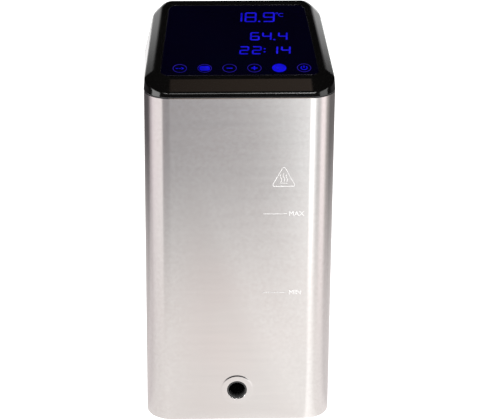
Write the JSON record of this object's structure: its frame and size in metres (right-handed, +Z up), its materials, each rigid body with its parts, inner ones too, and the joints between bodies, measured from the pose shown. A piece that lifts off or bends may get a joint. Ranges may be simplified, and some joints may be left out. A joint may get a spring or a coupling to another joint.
{
  "type": "sous vide circulator",
  "caption": "Upright water heater and pump in a brushed steel casing with a sloping black touch display on top and a screw clamp behind for the rim of a pot.",
  "frame": {"origin": "middle of the casing's foot, on the face it stands on", "axes": "+Z up along the casing, the front with the water outlet and the low edge of the display faces -Y, +X to the right seen from the front, the clamp is on +Y"},
  "size_m": [0.115, 0.1878, 0.2494],
  "materials": {
    "casing_steel": "horizontally brushed stainless sheet, satin",
    "head_gloss": "glossy black moulding with faint dust and hairlines",
    "display_glass": "black-backed touch glass, dark blue, polished",
    "black_moulding": "matt black moulding with a fine grain",
    "black_rubber": "soft black rubber",
    "bright_steel": "bright machined steel screws and pins",
    "deck_steel": "plain stainless sheet and tube",
    "zinc_steel": "zinc-plated motor shell",
    "plain_aluminium": "plain extruded aluminium",
    "circuit_board": "green glass-fibre circuit board",
    "digit_module": "white light box of the figure display",
    "component_mix": "moulded relays, capacitors and terminals",
    "spring_brass": "brass",
    "copper_winding": "enamelled copper winding",
    "white_moulding": "white low-friction plastic",
    "pump_plastic": "dark grey heat-proof plastic",
    "clamp_plastic": "matt black glass-filled moulding"
  },
  "bodies": {
    "root": {"outer_casing": "casing_steel", "base_plate": "black_moulding", "base_screws": "bright_steel", "head_bezel": "head_gloss", "casing_gasket": "black_rubber", "head_tray": "black_moulding", "tray_screws": "bright_steel", "bezel_screws": "bright_steel", "display_glass": "display_glass", "glass_gasket": "black_rubber", "display_board": "circuit_board", "digit_module": "digit_module", "touch_pads": "spring_brass", "display_screws": "bright_steel", "buzzer": "black_moulding", "power_board": "circuit_board", "power_components": "component_mix", "heat_sink": "plain_aluminium", "board_brackets": "bright_steel", "board_screws": "bright_steel", "motor_deck": "deck_steel", "deck_seal": "black_rubber", "deck_screws": "bright_steel", "motor_standoffs": "bright_steel", "motor_endplate": "zinc_steel", "motor_screws": "bright_steel", "motor_housing": "zinc_steel", "motor_stator": "copper_winding", "upper_bearing": "bright_steel", "lower_bearing": "bright_steel", "shaft_seal": "black_rubber", "shaft_tube": "deck_steel", "tube_screws": "bright_steel", "shaft_bush": "white_moulding", "pump_housing": "pump_plastic", "pump_cover": "pump_plastic", "pump_screws": "bright_steel", "outlet_nozzle": "black_moulding", "nozzle_seal": "black_rubber", "heating_element": "deck_steel", "heater_nuts": "spring_brass", "temperature_probe": "bright_steel", "level_probes": "bright_steel", "fan_frame": "black_moulding", "fan_screws": "bright_steel", "cord_gland": "black_moulding", "gland_nut": "black_moulding", "clamp_bracket": "clamp_plastic", "bracket_screws": "bright_steel", "rim_pad": "black_rubber"},
    "rotor": {"motor_rotor": "zinc_steel", "shaft_coupling": "plain_aluminium", "drive_shaft": "bright_steel", "impeller": "white_moulding"},
    "fan": {"fan_rotor": "black_moulding"},
    "shoe": {"clamp_shoe": "clamp_plastic", "shoe_rubber": "black_rubber"},
    "screw": {"clamp_spindle": "bright_steel", "clamp_knob": "clamp_plastic", "knob_cap": "casing_steel"}
  },
  "joints": [
    {"name": "rotor_spin", "type": "hinge", "parent": "root", "child": "rotor", "pos_m": [0.015, 0, 0.1], "axis": [0, 0, 1], "continuous": true},
    {"name": "fan_spin", "type": "hinge", "parent": "root", "child": "fan", "pos_m": [0.006, 0.042, 0.19], "axis": [0, 1, 0], "continuous": true},
    {"name": "clamp_slide", "type": "slide", "parent": "root", "child": "shoe", "axis": [0, -1, 0], "range_m": [0, 0.022]},
    {"name": "clamp_turn", "type": "hinge", "parent": "shoe", "child": "screw", "pos_m": [0, 0.09, 0.138], "axis": [0, -1, 0], "range_deg": [0, 3960]}
  ],
  "couplings": [
    {"joint": "clamp_slide", "follows": "clamp_turn", "m_per_rad": 0.0003183}
  ]
}
